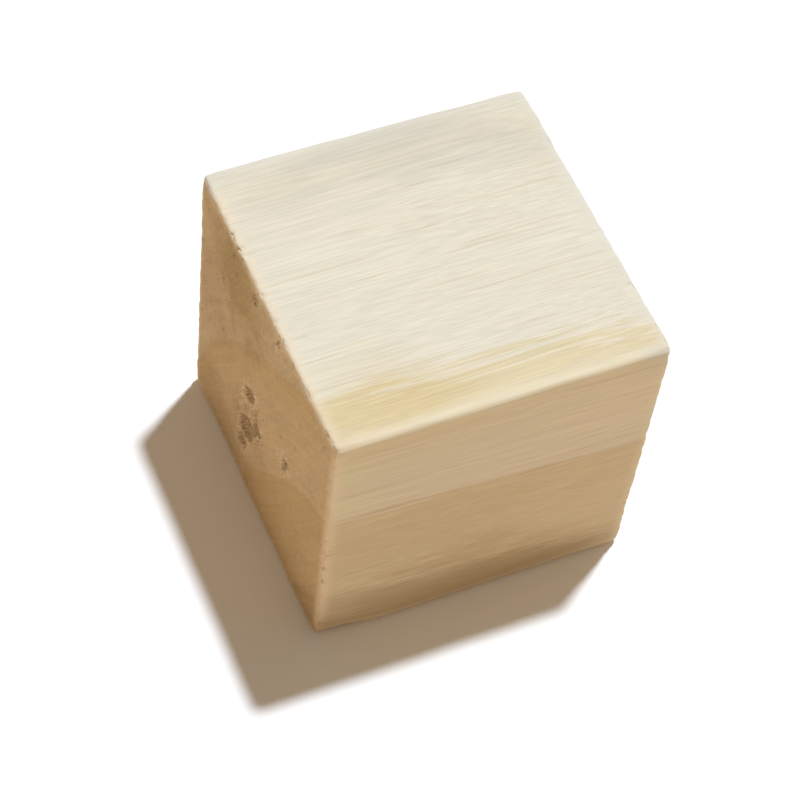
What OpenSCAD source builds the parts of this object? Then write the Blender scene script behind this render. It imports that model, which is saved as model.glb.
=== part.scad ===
// A small plain block of softwood: a cube sawn square on all six sides.
// The grain runs along X, so the two faces across X are the end grain.
// The origin is the middle of the bottom face, and +Z is up.

/* [Block] */
// Length of the cube's edge, from face to face
edge = 15; // [10:1:30]

/* [Edges] */
// Radius of the eased edges between the faces
arris_r = 0.3; // [0.1:0.05:0.6]
// Number of steps round a full circle, for the preview
round_steps = 32; // [16:8:64]

/* [Hidden] */

inner = edge - 2 * arris_r;
half_inner = inner / 2;
$fn = round_steps;

// The directions that turn the Z axis onto Z, Y and X.
TURNS = [[0, 0, 0], [90, 0, 0], [0, 90, 0]];
SIDES = [-half_inner, half_inner];

// A square bar along the turned Z axis: it reaches two opposite faces of the cube.
module face_bar() {
    cube([inner, inner, edge], center = true);
}

// The four rounded edges that run along the turned Z axis.
module edge_rods() {
    for (x = SIDES, y = SIDES)
        translate([x, y, 0])
            cylinder(h = inner, r = arris_r, center = true);
}

// The eight rounded corners, where three edges meet.
module corner_balls() {
    for (x = SIDES, y = SIDES, z = SIDES)
        translate([x, y, z])
            sphere(r = arris_r);
}

// The whole block, one piece of wood, standing on its bottom face.
module cube_block() {
    color("burlywood")
        translate([0, 0, edge / 2])
            union() {
                for (turn = TURNS)
                    rotate(turn) {
                        face_bar();
                        edge_rods();
                    }
                corner_balls();
            }
}

cube_block();
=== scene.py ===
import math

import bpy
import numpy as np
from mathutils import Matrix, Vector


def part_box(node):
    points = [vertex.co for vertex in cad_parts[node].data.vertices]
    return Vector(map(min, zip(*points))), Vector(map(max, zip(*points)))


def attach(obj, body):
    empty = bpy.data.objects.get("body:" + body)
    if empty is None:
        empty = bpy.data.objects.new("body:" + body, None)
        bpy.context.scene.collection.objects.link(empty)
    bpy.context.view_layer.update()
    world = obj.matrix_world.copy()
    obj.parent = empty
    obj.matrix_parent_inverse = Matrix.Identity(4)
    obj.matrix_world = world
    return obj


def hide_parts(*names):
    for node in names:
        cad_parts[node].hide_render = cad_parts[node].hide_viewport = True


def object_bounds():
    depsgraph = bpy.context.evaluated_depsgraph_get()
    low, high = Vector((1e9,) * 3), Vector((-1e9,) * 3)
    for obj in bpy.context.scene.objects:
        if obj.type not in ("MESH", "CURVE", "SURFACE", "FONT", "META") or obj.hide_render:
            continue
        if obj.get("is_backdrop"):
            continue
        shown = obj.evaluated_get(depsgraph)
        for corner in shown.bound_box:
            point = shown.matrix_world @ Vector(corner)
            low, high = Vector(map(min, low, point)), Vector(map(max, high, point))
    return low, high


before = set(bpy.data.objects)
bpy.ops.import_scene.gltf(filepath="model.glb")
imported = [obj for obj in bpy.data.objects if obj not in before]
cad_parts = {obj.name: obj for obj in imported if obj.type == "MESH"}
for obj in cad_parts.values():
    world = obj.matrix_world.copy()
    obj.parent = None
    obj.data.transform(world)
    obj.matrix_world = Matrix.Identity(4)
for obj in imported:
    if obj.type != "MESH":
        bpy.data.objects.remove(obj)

# The looks of a small plain cube of raw pine on a pale floor.
#
# One set of fields describes the wood: growth rings round a pith that lies outside the block, fibres along
# X, resin canals, and the fibres that the saw tore on the two ends. The same fields move the surface of the
# mesh and colour it, so a torn pit is both deep and dark, darker wood with painted shade in it, and a tuft
# is paler, with a painted highlight. They work in millimetres, in the part's own frame.

cad_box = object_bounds()

MM = 0.001
low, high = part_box("cube_block")
centre = (low + high) / 2
edge = high.x - low.x
HALF = edge / MM / 2  # of the edge, in millimetres

# ---- The wood, in millimetres ----

PITH_Y, PITH_Z = -20.0, -12.0  # where the rings are centred, in the plane x = 0
PITH_FALL = 0.035  # how far the pith drops for each millimetre along X
INNER_FALL = 0.06  # how much more the innermost rings drop than those of this radius and more
FALL_FROM = 30.0
MIDDLE_RADIUS = 28.0  # of the rings at the middle of the block
RING_BEND = 1.3  # how far the rings stray from round, slowly and finely
RING_WAVER = 0.14
# Each growth ring: its outer radius, how thick its late wood is, over how much it turns into the next ring,
# and the colours of its early and its late wood.
RINGS = (
    (19.1, 3.4, 1.0, (0.74, 0.62, 0.44), (0.62, 0.51, 0.34)),
    (24.6, 4.5, 0.6, (0.77, 0.67, 0.48), (0.74, 0.61, 0.40)),
    (30.6, 1.9, 0.5, (0.82, 0.735, 0.575), (0.75, 0.64, 0.405)),
    (37.6, 1.2, 0.8, (0.79, 0.74, 0.605), (0.78, 0.71, 0.55)),
    (44.0, 1.3, 0.5, (0.75, 0.70, 0.57), (0.73, 0.63, 0.43)),
)
# How wide those turns are in the carving and in the colour of the ends, if they are 1 in that of the sides.
CARVED_TURN, END_TURN = 0.5, 0.4
SLOW_LATE = 0.28  # the share of the late wood that comes in slowly, over SLOW_REACH times the thickness
SLOW_REACH = 3.0
# How far the bundles, the fibres and the grit fray the ring borders.
THREAD_FRAY, FIBRE_FRAY, GRIT_FRAY = 1.3, 0.35, 0.5

SAW_Y, SAW_Z = 58.0, 44.0  # the middle of the saw that cut the ends
SAW_RADIUS = 70.0  # from there to the block

# Where the saw tore the left end worst, and how far that reaches. The holes in it: place and reach.
TORN_Y, TORN_Z = 1.0, 6.2
TORN_REACH = 2.2
HOLE_STRETCH = 0.6  # of the reach across the sweep of the saw to that along it
HOLE_FRAY = 1.1  # how ragged their rims are
HOLES = (
    (1.1, 7.2, 0.50),
    (0.2, 5.7, 0.40),
    (1.2, 4.6, 0.72),
    (1.7, 3.0, 0.45),
    (-2.8, 7.5, 0.36),
    (1.2, 14.0, 0.30),
    (-1.4, 14.2, 0.26),
)

# Where the surface is darker or paler for no ring: stains of the wood, and painted shade at the foot. Each
# gives the middle, the reach across the grain and the tint.
STAIN_AND_SHADE_STRETCH = 0.45  # of the reach across the grain to that along it
STAIN_AND_SHADE_FRAY = 1.3  # how ragged their borders are, in reaches
STAIN_AND_SHADE_BORDER = (1.1, 0.2)  # from where to where each stain, and the painted shade, comes in, in reaches
SIDE_STAINS_AND_SHADE = (
    ((1.0, 6.0, 15.0), 2.6, (0.885, 0.895, 0.92)),
    ((5.5, 4.6, 15.0), 1.6, (0.92, 0.925, 0.94)),
    ((-4.4, 5.2, 15.0), 1.3, (0.93, 0.935, 0.94)),
    ((-4.8, -4.1, 15.0), 1.5, (1.0, 0.965, 0.905)),
    ((-4.6, -6.2, 15.0), 2.1, (0.95, 0.90, 0.79)),
    ((-3.5, -7.5, 6.3), 3.3, (0.95, 0.935, 0.915)),
    ((6.3, -7.5, 12.0), 2.4, (1.045, 1.035, 1.03)),
    ((0.3, -7.5, 4.0), 1.4, (0.93, 0.895, 0.875)),
    ((-7.3, -7.5, 12.9), 1.3, (1.0, 1.045, 0.97)),
    ((-7.3, -7.5, 10.6), 1.1, (1.0, 1.03, 0.95)),
    # Painted shade: darker towards the foot of the front, next to the floor.
    ((-0.6, -7.5, 0.8), 3.7, (0.85, 0.81, 0.73)),
)
END_STAINS_AND_SHADE = (
    ((-7.5, 3.0, 13.1), 3.9, (0.75, 0.69, 0.53)),
    ((-7.5, 5.8, 9.0), 3.4, (0.90, 0.86, 0.85)),
    # Painted shade: darker towards the foot of the left end, at the back.
    ((-7.5, 4.0, 1.2), 3.8, (0.86, 0.84, 0.82)),
    ((-7.5, 0.9, 5.0), 2.2, (0.90, 0.86, 0.83)),
)

# ---- The mesh, in millimetres ----

END_STEPS = 168  # quads across an end, both ways
GRAIN_STEPS = 60  # quads along the grain
GRAIN_CROWDING = 0.65  # how much closer those lie near the ends
ARRIS = 0.30  # radius of the eased edges
CORNER_REACH = 1.3  # how far the corners are blunted
CORNER_LOSS = 0.05
KNOCKED_REACH = 3.6  # the same for the front left corner at the foot, which was knocked round
KNOCKED_LOSS = (0.05, 0.40, 0.25)  # from its end, front and bottom

# How deep the carving goes.
SIDE_SWELL, END_SWELL = 0.05, 0.04  # slow waves
SIDE_SINK, END_SINK = 0.018, 0.02  # the early wood, under the harder late wood
STREAK_DEPTH = 0.006
SAW_MARK_DEPTH = 0.045
PIT_DEPTH = 0.06
TUFT_HEIGHT = 0.025
HOLE_DEPTH = 0.15
BROKEN_DEPTH = 0.10  # where bundles of fibres broke out of an arris
WORN_DEPTH = 0.045  # of the arrises elsewhere

# What is too fine for the mesh is a bump: the height of a whole one, and the share of that of each kind.
BUMP_HEIGHT = 0.05
FIBRE_BUMP, WHISKER_BUMP, GRIT_BUMP, CANAL_BUMP = 0.06, 0.5, 0.4, -0.4

# ---- Colours of the wood, as linear red, green and blue ----

END_TINT = (0.82, 0.68, 0.51)  # the colour of the wood's ends over that of its sides
END_MEAN = (0.79, 0.69, 0.51)  # of the ring colours
END_MUTED = 0.3  # how far the ring colours come together on the ends
WARM_TINT = (1.0, 0.975, 0.965)
HAIRLINE_TINT = (0.95, 0.915, 0.86)
# Torn ends: tufts of paler fibres with a painted highlight for their sparkle, and pits of darker wood with
# painted shade in them.
TUFT_WOOD_AND_HIGHLIGHT = (0.84, 0.73, 0.54)
PIT_WOOD_AND_SHADE = (0.34, 0.21, 0.10)
CANAL = (0.44, 0.31, 0.17)
SIDE_CANALS, END_CANALS = 0.22, 0.35  # how much of that colour shows
ARRIS_SHOWN = 0.65  # how much of the colours of the arrises shows: wear with a painted highlight, and painted shade at the back and the right of the top
SIDE_ARRIS_REACH, END_ARRIS_REACH = 0.8, 0.65  # how far they reach from the edge, in millimetres
# The arrises are paler: partly wear, partly a painted highlight along the edge.
ARRIS_WEAR_AND_HIGHLIGHT_TINT = (0.90, 0.815, 0.62)
LEFT_ARRIS_WEAR_AND_HIGHLIGHT_TINT = (0.93, 0.77, 0.56)
FAR_ARRIS_SHADE_TINT = (0.77, 0.735, 0.655)  # painted shade: duller and greyer at the back and the right of the top
WHITE = (1.0, 1.0, 1.0)
EARLY_ROUGHNESS, LATE_ROUGHNESS, END_ROUGHNESS = 0.78, 0.66, 0.92
GLOSS = 0.3  # the specular level of dry wood

# ---- The light and the view ----

FLOOR_REACH = 3.0  # from the middle to its sides, in metres
FLOOR_BOUNCE = (0.98, 0.80, 0.62)  # the floor's colour for the light that it throws on the block
FILL = (0.31, 0.245, 0.175)  # the light from all round
KEY = (0.75, 0.82, 0.90)  # the light of the lamp
KEY_TOWARDS = Vector((0.258, 0.165, 1.0)).normalized()  # from the block to the lamp
KEY_ANGLE = math.radians(2.9)  # how wide the lamp looks from the block

VIEW_AZIMUTH, VIEW_ELEVATION, VIEW_ROLL = (math.radians(a) for a in (-29.8, 55.1, 8.25))
VIEW_DISTANCE = 7.4  # in edges of the cube
VIEW_WIDTH = 2.325  # of the frame at the cube, in edges
VIEW_AIM = Vector((-0.0525, -0.104, 0))  # the frame's middle, right and up of the cube's, in edges


class Nodes:
    """Short calls that add nodes to a shader or geometry tree. Each gives the new node's output."""

    def __init__(self, tree):
        self.tree = tree

    def feed(self, socket, value):
        if isinstance(value, bpy.types.NodeSocket):
            self.tree.links.new(value, socket)
        else:
            socket.default_value = value

    def node(self, kind, inputs, **settings):
        made = self.tree.nodes.new(kind)
        for name, value in settings.items():
            setattr(made, name, value)
        for key, value in dict(inputs).items():
            self.feed(made.inputs[key], value)
        return made

    def math(self, operation, *values):
        return self.node("ShaderNodeMath", enumerate(values), operation=operation).outputs[0]

    def add(self, a, b):
        return self.math("ADD", a, b)

    def times(self, a, b):
        return self.math("MULTIPLY", a, b)

    def larger(self, a, b):
        return self.math("MAXIMUM", a, b)

    def more(self, start, value, factor):
        """The start plus the value times the factor."""
        return self.math("MULTIPLY_ADD", value, factor, start)

    def length(self, a, b):
        """Of the long side of a right triangle whose other two sides are a and b."""
        return self.math("SQRT", self.more(self.times(b, b), a, a))

    def vector(self, x, y, z):
        return self.node("ShaderNodeCombineXYZ", enumerate((x, y, z))).outputs[0]

    def split(self, vector):
        return self.node("ShaderNodeSeparateXYZ", {0: vector}).outputs[:3]

    def scaled(self, vector, factors):
        made = self.node("ShaderNodeVectorMath", {0: vector, 1: factors}, operation="MULTIPLY")
        return made.outputs[0]

    def distance(self, a, b):
        made = self.node("ShaderNodeVectorMath", {0: a, 1: b}, operation="DISTANCE")
        return made.outputs["Value"]

    def noise(self, place, counts, detail=1.0, roughness=0.5):
        """Noise from about 0.2 to 0.8, with so many waves a millimetre along each axis of the place."""
        place = self.scaled(place, counts)
        values = {"Vector": place, "Scale": 1.0, "Detail": detail, "Roughness": roughness}
        return self.node("ShaderNodeTexNoise", values).outputs[0]

    def cells(self, place, counts):
        """How far the place is from its cell's middle, and a random number for the cell."""
        made = self.node("ShaderNodeTexVoronoi", {"Vector": self.scaled(place, counts), "Scale": 1.0})
        return made.outputs["Distance"], self.split(made.outputs["Color"])[0]

    def ramp(self, value, start, end, first=0.0, last=1.0, kind="SMOOTHSTEP"):
        """Goes from first to last as value goes from start to end, and no further."""
        values = enumerate((value, start, end, first, last))
        return self.node("ShaderNodeMapRange", values, interpolation_type=kind).outputs[0]

    def mix(self, share, a, b):
        return self.node("ShaderNodeMix", {0: share, 2: a, 3: b}, data_type="FLOAT").outputs[0]

    def blend(self, share, a, b, kind="MIX"):
        made = self.node("ShaderNodeMix", {0: share}, data_type="RGBA", blend_type=kind)
        for socket, colour in zip((made.inputs[6], made.inputs[7]), (a, b)):
            self.feed(socket, (*colour, 1.0) if isinstance(colour, tuple) else colour)
        return made.outputs[2]

    def tinted(self, share, colour, tint):
        """The colour times the tint, by the share."""
        return self.blend(share, colour, self.blend(1.0, colour, tint, "MULTIPLY"))


def placed(name, data):
    """A new object in the scene, at the origin."""
    made = bpy.data.objects.new(name, data)
    bpy.context.scene.collection.objects.link(made)
    return made


def new_material(name):
    """A new material, the calls that add to its nodes, and the inputs of its shader."""
    material = bpy.data.materials.new(name)
    material.use_nodes = True
    return material, Nodes(material.node_tree), material.node_tree.nodes["Principled BSDF"].inputs


# ---- The fields of the wood ----


def ring_place(n, p):
    """The radius from the pith, and the way round it, both in millimetres."""
    x, y, z = n.split(p)
    across = n.add(y, -PITH_Y)
    up = n.more(n.add(z, -PITH_Z), x, PITH_FALL)
    radius = n.length(across, up)
    radius = n.more(radius, x, n.ramp(radius, FALL_FROM, RINGS[0][0], 0.0, INNER_FALL))
    bend = n.noise(p, (0.05, 0.16, 0.16))
    waver = n.noise(p, (0.12, 1.3, 1.3), 2.0)
    radius = n.more(radius, n.add(bend, -0.5), RING_BEND)
    radius = n.more(radius, n.add(waver, -0.5), RING_WAVER)
    return radius, n.times(n.math("ARCTAN2", up, across), MIDDLE_RADIUS)


def ring_bands(n, radius, softness):
    """For each ring, the share of late wood, which grows outwards, and how far the next ring has begun."""
    for outer, thick, turn, *_ in RINGS:
        slow = n.ramp(radius, outer - SLOW_REACH * thick, outer, 0.0, SLOW_LATE)
        late = n.add(slow, n.ramp(radius, outer - thick, outer, 0.0, 1 - SLOW_LATE))
        past = n.math("DIVIDE", n.add(radius, -outer), softness)
        yield late, n.ramp(past, -turn / 2, turn / 2)


def late_wood(n, radius, softness):
    """The share of late wood, from 0 to 1."""
    total = 0.0
    for late, next_begun in ring_bands(n, radius, softness):
        total = n.mix(next_begun, n.larger(total, late), 0.0)
    return total


def ring_colour(n, radius, softness):
    colour, begun = END_MEAN, 1.0
    for band, ring in zip(ring_bands(n, radius, softness), RINGS):
        late, next_begun = band
        early_colour, late_colour = ring[3:]
        colour = n.blend(begun, colour, n.blend(late, early_colour, late_colour))
        begun = next_begun
    return colour


def ring_noise(n, p, rings, counts, detail, roughness):
    """Noise that follows the rings. The counts are along X, round the rings and out from the pith."""
    radius, around = rings
    return n.noise(n.vector(n.split(p)[0], around, radius), counts, detail, roughness)


def layers(n, p, rings):
    """Faint layers within a ring, which show as long streaks on the sides and fine arcs on the ends."""
    return ring_noise(n, p, rings, (0.03, 0.07, 2.4), 4.0, 0.62)


def rays(n, p, rings):
    """The fine rays, which run out from the pith and show on the ends."""
    return ring_noise(n, p, rings, (0.1, 8.0, 0.5), 2.0, 0.5)


def grit(n, p, rings):
    """The cut ends of the fibre bundles, in rows along the rays."""
    return ring_noise(n, p, rings, (0.5, 11.0, 6.0), 3.0, 0.65)


def lines(n, p, rings, length, width, detail):
    """Streaks along the grain that follow the rings, about so long and so wide, in millimetres."""
    return ring_noise(n, p, rings, (1 / length, 1 / width, 1 / width), detail, 0.55)


def fibres(n, p, rings):
    """The fine lines of the fibres on the sides, from dark to pale."""
    return n.ramp(lines(n, p, rings, 7.0, 0.085, 2.0), 0.36, 0.64)


def strands(n, p, rings):
    """Single fibres, which show close up only."""
    return n.ramp(lines(n, p, rings, 3.5, 0.05, 1.0), 0.43, 0.57)


def threads(n, p, rings):
    """Bundles of fibres, which fray the ring borders."""
    return lines(n, p, rings, 14.0, 0.24, 2.0)


def hairlines(n, p, rings):
    """Thin dark lines along the grain, here and there."""
    return n.ramp(lines(n, p, rings, 9.0, 0.15, 0.0), 0.66, 0.80)


def canals(n, p, late):
    """Resin canals: thin lines on the sides and dots on the ends, mostly in the late wood."""
    distance, chance = n.cells(p, (0.05, 1.9, 1.9))
    ragged = n.more(distance, n.noise(p, (1.4, 9.0, 9.0)), 0.10)
    seen = n.ramp(ragged, 0.08, 0.15, 1.0, 0.0)
    kept = n.ramp(n.more(chance, late, 0.8), 0.65, 0.85)
    return n.times(seen, kept)


def swept(n, p):
    """A place on an end as the saw met it: along X, across the marks of its teeth, and along them."""
    x, y, z = n.split(p)
    to_y = n.add(y, -SAW_Y)
    to_z = n.add(z, -SAW_Z)
    return n.vector(x, n.length(to_y, to_z), n.times(n.math("ARCTAN2", to_z, to_y), SAW_RADIUS))


def swept_place(y, z):
    """The same for a given place on the left end, as plain numbers."""
    to_y = y - SAW_Y
    to_z = z - SAW_Z
    return -HALF, math.hypot(to_y, to_z), math.atan2(to_z, to_y) * SAW_RADIUS


def torn(n, p, detail):
    """The torn fibres of the ends, from pits up to tufts. The mesh takes less detail than the colour."""
    return n.noise(swept(n, p), (0.4, 3.1, 1.1), detail, 0.62)


def saw_marks(n, p):
    """The broad marks that the saw's teeth left on the ends."""
    return n.noise(swept(n, p), (0.5, 2.1, 0.03))


def scratches(n, p):
    """The fine scratches between them."""
    return n.noise(swept(n, p), (0.5, 7.0, 0.12), 2.0, 0.6)


def whiskers(n, p):
    """Short broken fibres that lie along the sweep of the saw, on the ends."""
    return n.noise(swept(n, p), (0.4, 10.0, 2.4), 2.0, 0.6)


def inside_holes(n, p, detail):
    """How far a place is inside the ragged rims of the holes in the left end, in millimetres."""
    stretch = (1.0, 1.0, HOLE_STRETCH)
    place = n.scaled(swept(n, p), stretch)
    inside = -2 * HALF
    for y, z, reach in HOLES:
        hole = tuple(a * b for a, b in zip(swept_place(y, z), stretch))
        inside = n.larger(inside, n.math("SUBTRACT", reach, n.distance(place, hole)))
    ragged = n.more(HOLE_FRAY / 2, n.noise(p, (1.0, 3.2, 3.2), detail, 0.7), -HOLE_FRAY)
    return n.add(inside, ragged)


def coarseness(n, p, late):
    """How badly the saw tore the ends: in patches, less in the late wood, and less on the left end."""
    patch = n.ramp(n.noise(p, (0.3, 0.38, 0.38)), 0.36, 0.66, 0.0, 0.9)
    coarse = n.times(patch, n.ramp(late, 0.1, 0.8, 1.0, 0.25))
    coarse = n.times(coarse, n.ramp(n.split(p)[0], -1.0, 1.0, 0.5, 0.65))
    worst = n.ramp(n.distance(p, (-HALF, TORN_Y, TORN_Z)), TORN_REACH, 0.3)
    return n.add(coarse, worst)


def pits_and_tufts(n, tear, coarse):
    """How much of a place is a pit, and how much a tuft. Both are wider where the end is coarser."""
    pit = n.ramp(n.more(tear, coarse, -0.12), 0.37, 0.15)
    tuft = n.ramp(n.more(tear, coarse, 0.12), 0.63, 0.85)
    return pit, tuft


# ---- The block ----


def grain_lines():
    """Where the lattice's lines cross the grain, from -1 to 1: closer together near the ends."""
    even = np.linspace(-1, 1, GRAIN_STEPS + 1)
    return (1 - GRAIN_CROWDING) * even + GRAIN_CROWDING * np.sin(even * math.pi / 2)


def block_lattice():
    """The block's rounded skin, in millimetres.

    Gives its vertices, its quads, each vertex's outward normal, and each vertex's place on the sharp cube.
    """
    steps = (GRAIN_STEPS, END_STEPS, END_STEPS)
    even = np.linspace(-HALF, HALF, END_STEPS + 1)
    marks = (HALF * grain_lines(), even, even)
    grid = np.stack(np.meshgrid(*(range(count + 1) for count in steps), indexing="ij"), -1)
    on_skin = ((grid == 0) | (grid == np.array(steps))).any(-1)
    number = np.cumsum(on_skin).reshape(on_skin.shape) - 1
    sharp = np.stack([marks[k][grid[on_skin][:, k]] for k in range(3)], 1)
    inner = sharp.clip(ARRIS - HALF, HALF - ARRIS)
    normals = sharp - inner
    normals /= np.linalg.norm(normals, axis=1, keepdims=True)
    quads = []
    for axis in range(3):
        for side in (0, steps[axis]):
            sheet = number.take(side, axis)
            corners = (sheet[:-1, :-1], sheet[1:, :-1], sheet[1:, 1:], sheet[:-1, 1:])
            faces = np.stack(corners, -1).reshape(-1, 4)
            outward = (side > 0) != (axis == 1)
            quads.append(faces if outward else faces[:, ::-1])
    return inner + ARRIS * normals, np.concatenate(quads), normals, sharp


def edge_gap(sharp):
    """How far each vertex of the sharp cube is from the nearest edge, in millimetres."""
    return HALF - np.sort(np.abs(sharp), axis=1)[:, 1]


def nearness(distance, reach):
    """From 0 at the reach, smoothly up to 1 where there is no distance."""
    near = 1 - (distance / reach).clip(0, 1)
    return near * near * (3 - 2 * near)


def corner_loss(sharp, normals):
    """What each vertex loses at the blunted corners, the knocked one most, in millimetres."""
    from_corner = 2 * HALF - np.sort(np.abs(sharp), axis=1)[:, :2].sum(1)
    from_knocked = (sharp + HALF).sum(1)
    facing = np.abs(normals)
    blunt = CORNER_LOSS * nearness(from_corner, CORNER_REACH) * facing.sum(1)
    return blunt + nearness(from_knocked, KNOCKED_REACH) * (facing @ np.array(KNOCKED_LOSS))


def attribute(mesh, name, values):
    mesh.attributes.new(name, "FLOAT", "POINT").data.foreach_set("value", values.astype(np.float32))


def make_block():
    points, quads, normals, sharp = block_lattice()
    mesh = bpy.data.meshes.new("pine_cube")
    mesh.from_pydata(points * MM + np.array(centre), [], quads)
    mesh.polygons.foreach_set("use_smooth", np.ones(len(quads), bool))
    attribute(mesh, "end", np.abs(normals[:, 0]))
    attribute(mesh, "gap", edge_gap(sharp))
    attribute(mesh, "blunted", corner_loss(sharp, normals))
    return placed("pine_cube", mesh)


def side_depth(n, p, late, swell):
    """How deep the sides are carved: the softer early wood most, with streaks along the grain."""
    streak = n.noise(p, (0.18, 3.2, 3.2), 0.0)
    depth = n.more(n.ramp(late, 0.0, 0.9, SIDE_SINK, 0.0), swell, SIDE_SWELL)
    return n.more(depth, streak, STREAK_DEPTH)


def end_depth(n, p, late, swell):
    """How deep the ends are carved: saw marks, and the pits, tufts and holes of the torn fibres."""
    pit, tuft = pits_and_tufts(n, torn(n, p, 1.0), coarseness(n, p, late))
    depth = n.more(n.ramp(late, 0.0, 0.9, END_SINK, 0.0), swell, END_SWELL)
    depth = n.more(depth, saw_marks(n, p), SAW_MARK_DEPTH)
    depth = n.more(depth, pit, PIT_DEPTH)
    depth = n.add(depth, n.ramp(inside_holes(n, p, 1.0), 0.0, 0.45, 0.0, HOLE_DEPTH))
    return n.more(n.add(depth, TUFT_HEIGHT), tuft, -TUFT_HEIGHT)


def arris_loss(n, p, end, gap):
    """What the arrises have lost: the saw broke out bundles of fibres at the ends, and wear took some."""
    from_end = n.math("SUBTRACT", HALF, n.math("ABSOLUTE", n.split(p)[0]))
    near_end = n.ramp(from_end, 0.3, 1.6, 1.0, 0.0)
    stretch = n.ramp(n.noise(p, (0.1, 0.22, 0.22)), 0.42, 0.62, 0.25, 1.0)
    reach = n.ramp(n.noise(p, (0.35, 3.4, 3.4)), 0.54, 0.80)
    reach = n.times(n.times(n.times(reach, stretch), near_end), n.mix(end, 1.0, 0.3))
    broken = n.ramp(n.math("SUBTRACT", reach, gap), 0.0, 0.35, 0.0, BROKEN_DEPTH)
    worn = n.ramp(n.noise(p, (0.3, 1.2, 1.2)), 0.42, 0.75, 0.0, WORN_DEPTH)
    return n.more(broken, worn, n.ramp(gap, 0.0, 0.55, 1.0, 0.0))


def carved_depth(n, p, end, gap):
    """How deep the surface lies under the plain block's, in millimetres."""
    radius, _ = ring_place(n, p)
    late = late_wood(n, radius, CARVED_TURN)
    swell = n.noise(p, (0.12, 0.25, 0.25))
    depth = n.mix(end, side_depth(n, p, late, swell), end_depth(n, p, late, swell))
    return n.add(depth, arris_loss(n, p, end, gap))


def in_millimetres(n, place):
    return n.scaled(place, (1 / MM, 1 / MM, 1 / MM))


def end_share(n, facing):
    """How much a place belongs to an end and not to a side, by how far it faces along X."""
    return n.ramp(facing, 0.5, 0.85)


def carve(block):
    """Moves the block's surface with the wood's fields: a geometry tree, whose result becomes the mesh."""
    tree = bpy.data.node_groups.new("carve", "GeometryNodeTree")
    for direction in ("INPUT", "OUTPUT"):
        tree.interface.new_socket("Geometry", in_out=direction, socket_type="NodeSocketGeometry")
    n = Nodes(tree)
    given = n.node("NodeGroupInput", {}).outputs[0]
    place = n.node("GeometryNodeInputPosition", {}).outputs[0]
    normal = n.node("GeometryNodeInputNormal", {}).outputs[0]
    facing, gap, blunted = (
        n.node("GeometryNodeInputNamedAttribute", {"Name": name}, data_type="FLOAT").outputs[0]
        for name in ("end", "gap", "blunted")
    )
    depth = n.add(carved_depth(n, in_millimetres(n, place), end_share(n, facing), gap), blunted)
    inward = n.node("ShaderNodeVectorMath", {0: normal, "Scale": n.times(depth, -MM)}, operation="SCALE")
    moved = n.node("GeometryNodeSetPosition", {"Geometry": given, "Offset": inward.outputs[0]})
    n.node("NodeGroupOutput", {0: moved.outputs[0]})
    modifier = block.modifiers.new("carve", "NODES")
    modifier.node_group = tree
    depsgraph = bpy.context.evaluated_depsgraph_get()
    carved = bpy.data.meshes.new_from_object(block.evaluated_get(depsgraph))
    block.modifiers.clear()
    block.data = carved
    bpy.data.node_groups.remove(tree)


# ---- The material ----


def shaded(n, colour, *shades):
    """The colour times the shades. Each is a field, where it starts and ends, and the grey at each."""
    whole = 1.0
    for shade in shades:
        whole = n.times(whole, n.ramp(*shade, "LINEAR"))
    return n.blend(1.0, colour, n.vector(whole, whole, whole), "MULTIPLY")


def with_stains_and_shade(n, p, colour, stains, ragged):
    """The colour with its stains and painted shade, darker and paler places whose borders are soft and
    ragged.
    """
    stretched = n.scaled(p, (STAIN_AND_SHADE_STRETCH, 1.0, 1.0))
    for (x, y, z), reach, tint in stains:
        off = n.distance(stretched, (STAIN_AND_SHADE_STRETCH * x, y, z))
        off = n.more(off, n.add(ragged, -0.5), STAIN_AND_SHADE_FRAY * reach)
        share = n.ramp(off, *(border * reach for border in STAIN_AND_SHADE_BORDER))
        colour = n.tinted(share, colour, tint)
    return colour


def side_colour(n, p, wood, rings, fine, thread):
    colour = shaded(
        n,
        wood,
        (layers(n, p, rings), 0.2, 0.8, 0.985, 1.01),
        (thread, 0.25, 0.75, 0.985, 1.01),
        (fine, 0.0, 1.0, 0.965, 1.025),
        (strands(n, p, rings), 0.0, 1.0, 0.96, 1.035),
    )
    warm = n.ramp(n.noise(p, (0.10, 0.22, 0.22)), 0.35, 0.65)
    colour = n.tinted(n.times(warm, 0.5), colour, WARM_TINT)
    colour = n.tinted(hairlines(n, p, rings), colour, HAIRLINE_TINT)
    return with_stains_and_shade(n, p, colour, SIDE_STAINS_AND_SHADE, lines(n, p, rings, 4.0, 0.7, 3.0))


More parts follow.
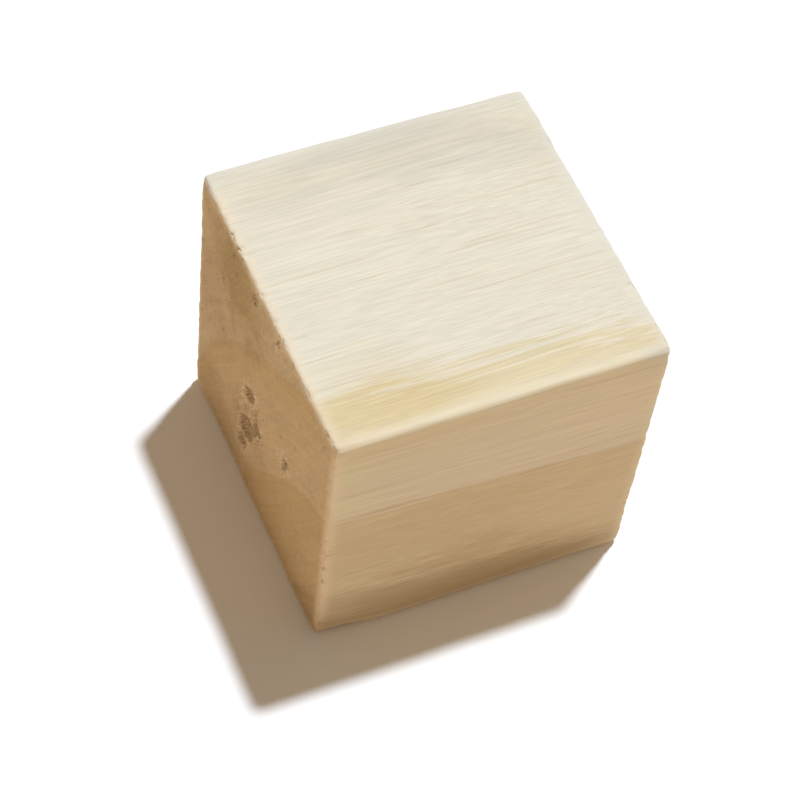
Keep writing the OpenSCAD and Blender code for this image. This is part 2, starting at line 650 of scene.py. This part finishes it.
def torn_colour(n, p, colour, late, grain):
    """The colour of an end with its broken fibres, pits, tufts and holes: the pits and holes darker, with
    painted shade in them, and the tufts paler, with a painted highlight.
    """
    coarse = coarseness(n, p, late)
    whisker = whiskers(n, p)
    frayed = n.more(0.12, coarse, 0.55)
    colour = n.blend(n.times(n.ramp(whisker, 0.56, 0.74), frayed), colour, TUFT_WOOD_AND_HIGHLIGHT)
    colour = n.blend(n.times(n.ramp(whisker, 0.42, 0.26), frayed), colour, PIT_WOOD_AND_SHADE)
    speckled = n.more(torn(n, p, 4.0), n.add(grain, -0.5), 0.3)
    pit, tuft = pits_and_tufts(n, speckled, coarse)
    colour = n.blend(n.times(pit, 0.6), colour, PIT_WOOD_AND_SHADE)
    colour = n.blend(n.times(tuft, 0.6), colour, TUFT_WOOD_AND_HIGHLIGHT)
    inside = inside_holes(n, p, 4.0)
    rim = n.times(n.ramp(inside, -0.45, -0.02), n.ramp(whisker, 0.45, 0.6, 0.0, 0.6))
    # Painted shade inside the holes, and paler fibres at their rims.
    hole = n.times(n.ramp(inside, 0.0, 0.14), n.ramp(whisker, 0.35, 0.6, 0.9, 0.5))
    return n.blend(hole, n.blend(rim, colour, TUFT_WOOD_AND_HIGHLIGHT), PIT_WOOD_AND_SHADE)


def end_colour(n, p, wood, rings, late, grain):
    colour = shaded(
        n,
        n.blend(1.0, wood, END_TINT, "MULTIPLY"),
        (n.noise(p, (0.2, 0.5, 0.5), 2.0), 0.3, 0.7, 0.96, 1.03),
        (layers(n, p, rings), 0.2, 0.8, 0.91, 1.06),
        (rays(n, p, rings), 0.3, 0.7, 0.965, 1.03),
        (grain, 0.3, 0.7, 0.92, 1.06),
        (scratches(n, p), 0.3, 0.7, 0.95, 1.04),
    )
    colour = torn_colour(n, p, colour, late, grain)
    return with_stains_and_shade(n, p, colour, END_STAINS_AND_SHADE, n.noise(p, (0.5, 0.9, 0.9), 3.0, 0.6))


def frayed_radius(n, radius, end, fine, thread, grain):
    """The radius from the pith, shifted a little by the fibres, so that no ring border is a clean line."""
    side_fray = n.more(n.times(n.add(thread, -0.5), THREAD_FRAY), n.add(fine, -0.5), FIBRE_FRAY)
    return n.add(radius, n.mix(end, side_fray, n.times(n.add(grain, -0.5), GRIT_FRAY)))


def arris_wear_highlight_and_shade_tint(n, p):
    """The colour of the arrises: paler wear with a painted highlight, and painted shade at the back and the
    right of the top.
    """
    x, y, z = n.split(p)
    # Painted shade on the arrises at the back and the right of the top.
    far = n.times(n.larger(n.ramp(x, 5.5, 7.0), n.ramp(y, 5.5, 7.0)), n.ramp(z, 13.6, 14.8))
    near_tint = n.blend(n.ramp(x, -7.0, -5.5), LEFT_ARRIS_WEAR_AND_HIGHLIGHT_TINT, ARRIS_WEAR_AND_HIGHLIGHT_TINT)
    return n.blend(far, near_tint, FAR_ARRIS_SHADE_TINT)


def bump(n, p, end, fine, grain, canal):
    """The normals of what is too fine for the mesh: fibres, broken fibres, grit and resin canals."""
    end_height = n.more(n.times(whiskers(n, p), WHISKER_BUMP), grain, GRIT_BUMP)
    height = n.more(n.mix(end, n.times(fine, FIBRE_BUMP), end_height), canal, CANAL_BUMP)
    values = {"Strength": 1.0, "Distance": BUMP_HEIGHT * MM, "Height": height}
    return n.node("ShaderNodeBump", values).outputs[0]


def arris_wear_highlight_and_shade_share(n, end, gap):
    """How much of the arrises' colour, wear with painted highlight and shade, a place has."""
    reach = n.mix(end, SIDE_ARRIS_REACH, END_ARRIS_REACH)
    return n.ramp(gap, 0.0, reach, ARRIS_SHOWN, 0.0)


def pine():
    material, n, shader = new_material("pine")
    p = in_millimetres(n, n.node("ShaderNodeTexCoord", {}).outputs["Object"])
    facing, gap = (
        n.node("ShaderNodeAttribute", {}, attribute_name=name).outputs["Fac"] for name in ("end", "gap")
    )
    end = end_share(n, facing)
    rings = ring_place(n, p)
    grain = grit(n, p, rings)
    thread = threads(n, p, rings)
    fine = fibres(n, p, rings)
    radius = frayed_radius(n, rings[0], end, fine, thread, grain)
    softness = n.mix(end, 1.0, END_TURN)
    late = late_wood(n, radius, softness)
    canal = canals(n, p, late)
    wood = n.blend(n.times(end, END_MUTED), ring_colour(n, radius, softness), END_MEAN)
    side = side_colour(n, p, wood, rings, fine, thread)
    colour = n.blend(end, side, end_colour(n, p, wood, rings, late, grain))
    colour = n.blend(n.times(canal, n.mix(end, SIDE_CANALS, END_CANALS)), colour, CANAL)
    colour = n.blend(arris_wear_highlight_and_shade_share(n, end, gap), colour, arris_wear_highlight_and_shade_tint(n, p))
    side_roughness = n.ramp(late, 0.0, 1.0, EARLY_ROUGHNESS, LATE_ROUGHNESS)
    n.feed(shader["Base Color"], colour)
    n.feed(shader["Roughness"], n.mix(end, side_roughness, END_ROUGHNESS))
    n.feed(shader["Specular IOR Level"], GLOSS)
    n.feed(shader["Normal"], bump(n, p, end, fine, grain, canal))
    return material


# ---- The stage ----


def seen_or_mirrored(n):
    """1 for rays of the camera and of reflections or glass, and 0 for the rays that only light things."""
    path = n.node("ShaderNodeLightPath", {}).outputs
    either = n.larger(path["Is Glossy Ray"], path["Is Transmission Ray"])
    return n.larger(path["Is Camera Ray"], either)


def make_floor():
    sides = (-FLOOR_REACH, FLOOR_REACH)
    corners = [(x, y, 0) for x in sides for y in sides]
    mesh = bpy.data.meshes.new("floor")
    mesh.from_pydata(corners, [], [(0, 2, 3, 1)])
    material, n, shader = new_material("floor")
    n.feed(shader["Base Color"], n.blend(seen_or_mirrored(n), FLOOR_BOUNCE, WHITE))
    n.feed(shader["Roughness"], 1.0)
    n.feed(shader["Specular IOR Level"], 0.0)
    mesh.materials.append(material)
    placed("floor", mesh)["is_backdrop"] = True


def make_world():
    """The light from all round, which the camera sees as white."""
    world = bpy.data.worlds.new("studio")
    bpy.context.scene.world = world
    world.use_nodes = True
    n = Nodes(world.node_tree)
    sky = world.node_tree.nodes["Background"]
    n.feed(sky.inputs["Color"], n.blend(seen_or_mirrored(n), FILL, WHITE))


def aimed(back, up_hint):
    """The rotation of something that looks against back, with its top towards up_hint."""
    right = up_hint.cross(back).normalized()
    return Matrix((right, back.cross(right), back)).transposed()


def make_key():
    lamp = bpy.data.lights.new("key", "SUN")
    lamp.angle = KEY_ANGLE
    lamp.color = KEY
    lamp.energy = math.pi  # a white surface that faces the lamp then renders in the lamp's colour
    key = placed("key", lamp)
    key.matrix_world = aimed(KEY_TOWARDS, Vector((0, 1, 0))).to_4x4()


def make_camera():
    back = Vector((
        math.sin(VIEW_AZIMUTH) * math.cos(VIEW_ELEVATION),
        -math.cos(VIEW_AZIMUTH) * math.cos(VIEW_ELEVATION),
        math.sin(VIEW_ELEVATION),
    ))
    camera = bpy.data.cameras.new("camera")
    camera.lens = camera.sensor_width * VIEW_DISTANCE / VIEW_WIDTH
    camera.clip_start = 0.01
    camera.clip_end = 10
    view = placed("camera", camera)
    rotation = aimed(back, Vector((0, 0, 1))) @ Matrix.Rotation(VIEW_ROLL, 3, "Z")
    place = centre + back * VIEW_DISTANCE * edge
    view.matrix_world = Matrix.Translation(place + rotation @ VIEW_AIM * edge) @ rotation.to_4x4()
    bpy.context.scene.camera = view


block = make_block()
carve(block)
block.data.materials.clear()
block.data.materials.append(pine())
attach(block, "root")
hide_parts("cube_block")

make_floor()
make_world()
make_key()
make_camera()
bpy.context.scene.view_settings.view_transform = "Standard"

boxes = {"cad": cad_box, "visual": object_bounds()}
{name: [list(corner) for corner in box] for name, box in boxes.items()}
